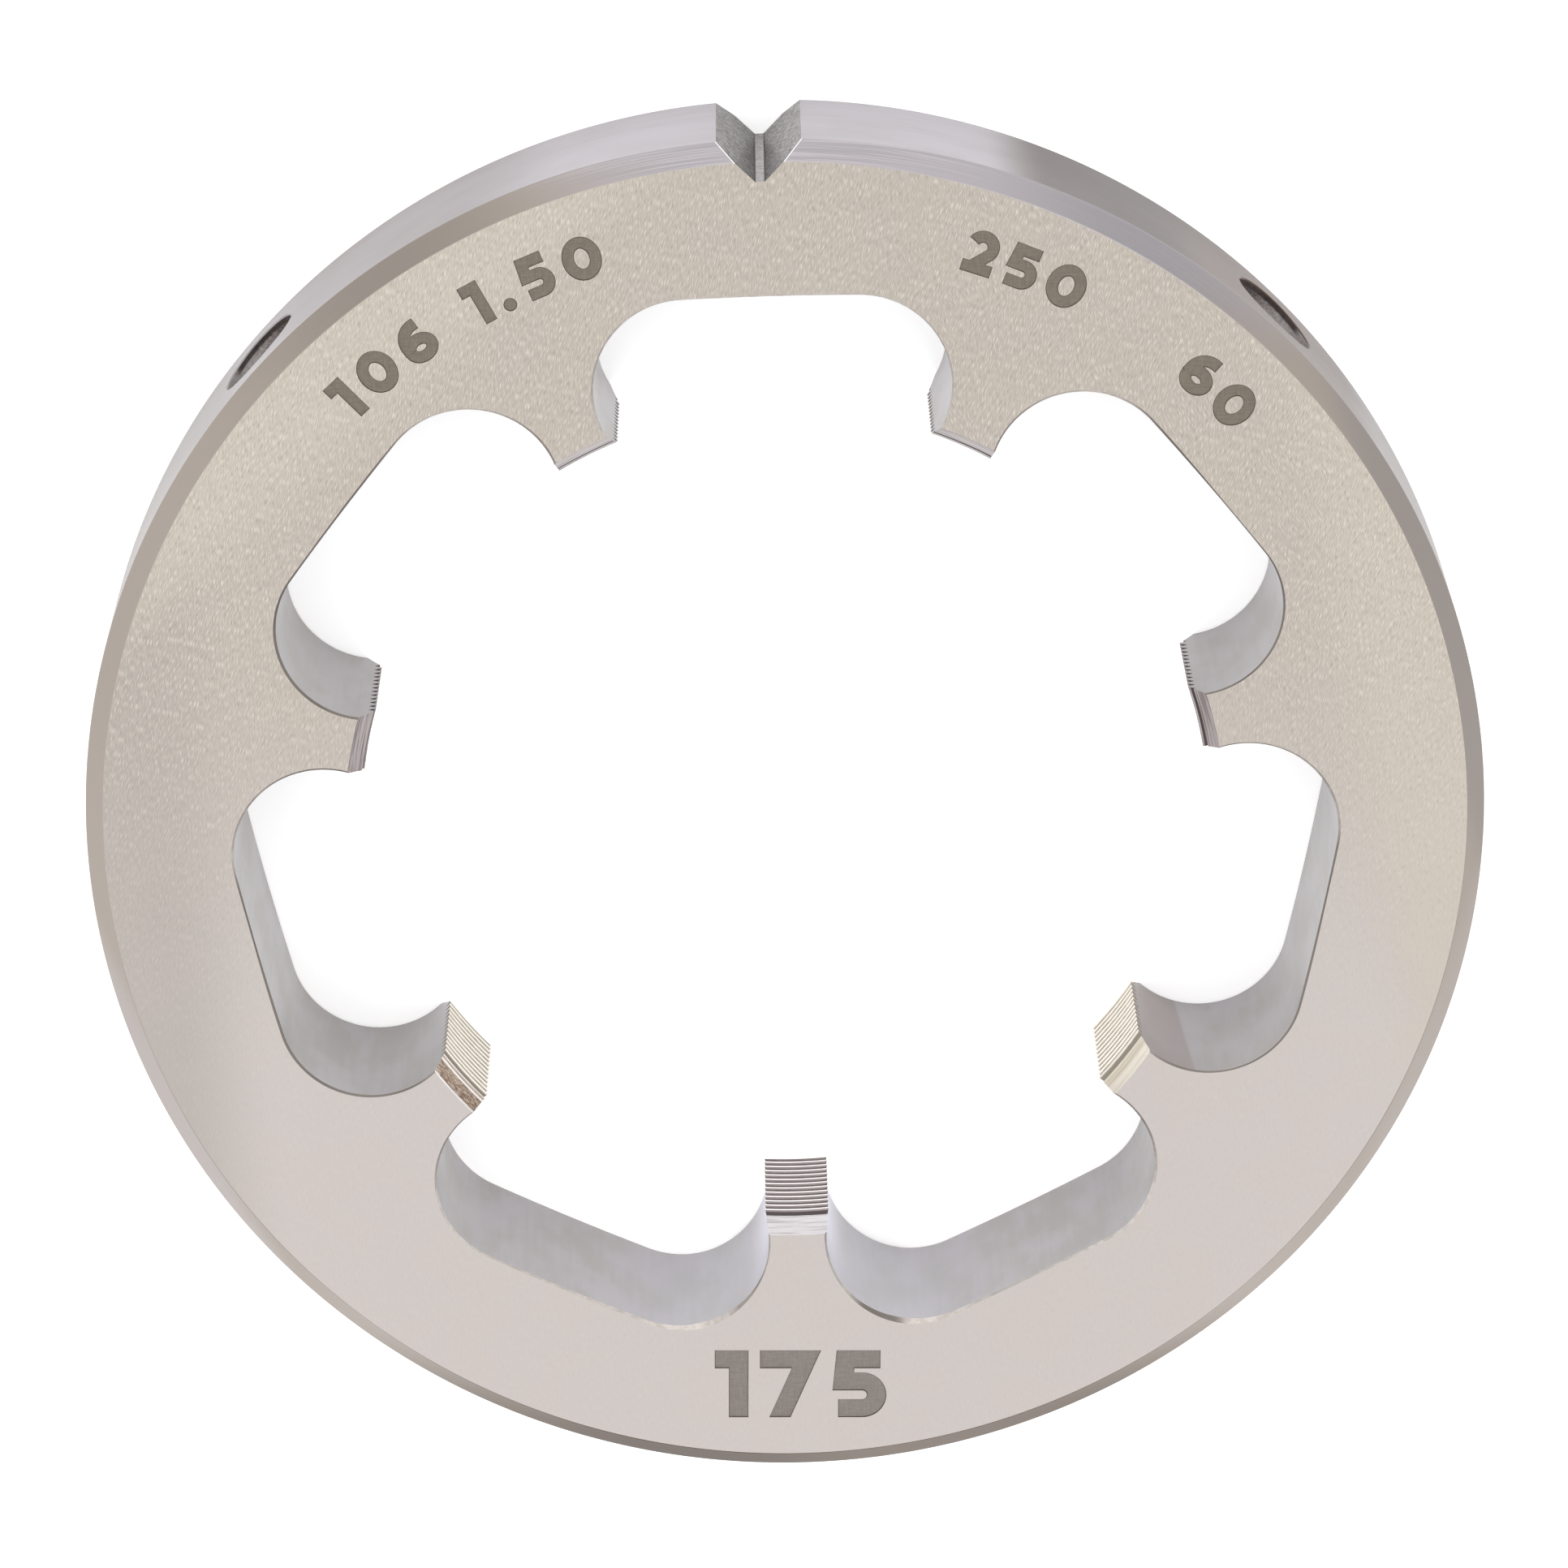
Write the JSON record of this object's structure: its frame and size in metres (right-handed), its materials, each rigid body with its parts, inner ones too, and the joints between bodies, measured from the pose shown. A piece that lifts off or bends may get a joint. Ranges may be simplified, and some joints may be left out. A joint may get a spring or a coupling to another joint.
{
  "type": "round threading die",
  "caption": "Ground steel ring with threaded lands between two-lobed flutes, an adjusting notch and two screw dimples in the rim, for cutting a large fine thread.",
  "frame": {"origin": "centre of the back face, on the axis, where the die lies on its back", "axes": "+Z along the axis, out of the start face where the work goes in; +Y through the adjusting notch in the rim"},
  "size_m": [0.175, 0.1748, 0.025],
  "materials": {
    "ground_steel": "fine ground, satin"
  },
  "bodies": {
    "root": {"threading_die": "ground_steel"}
  },
  "joints": []
}
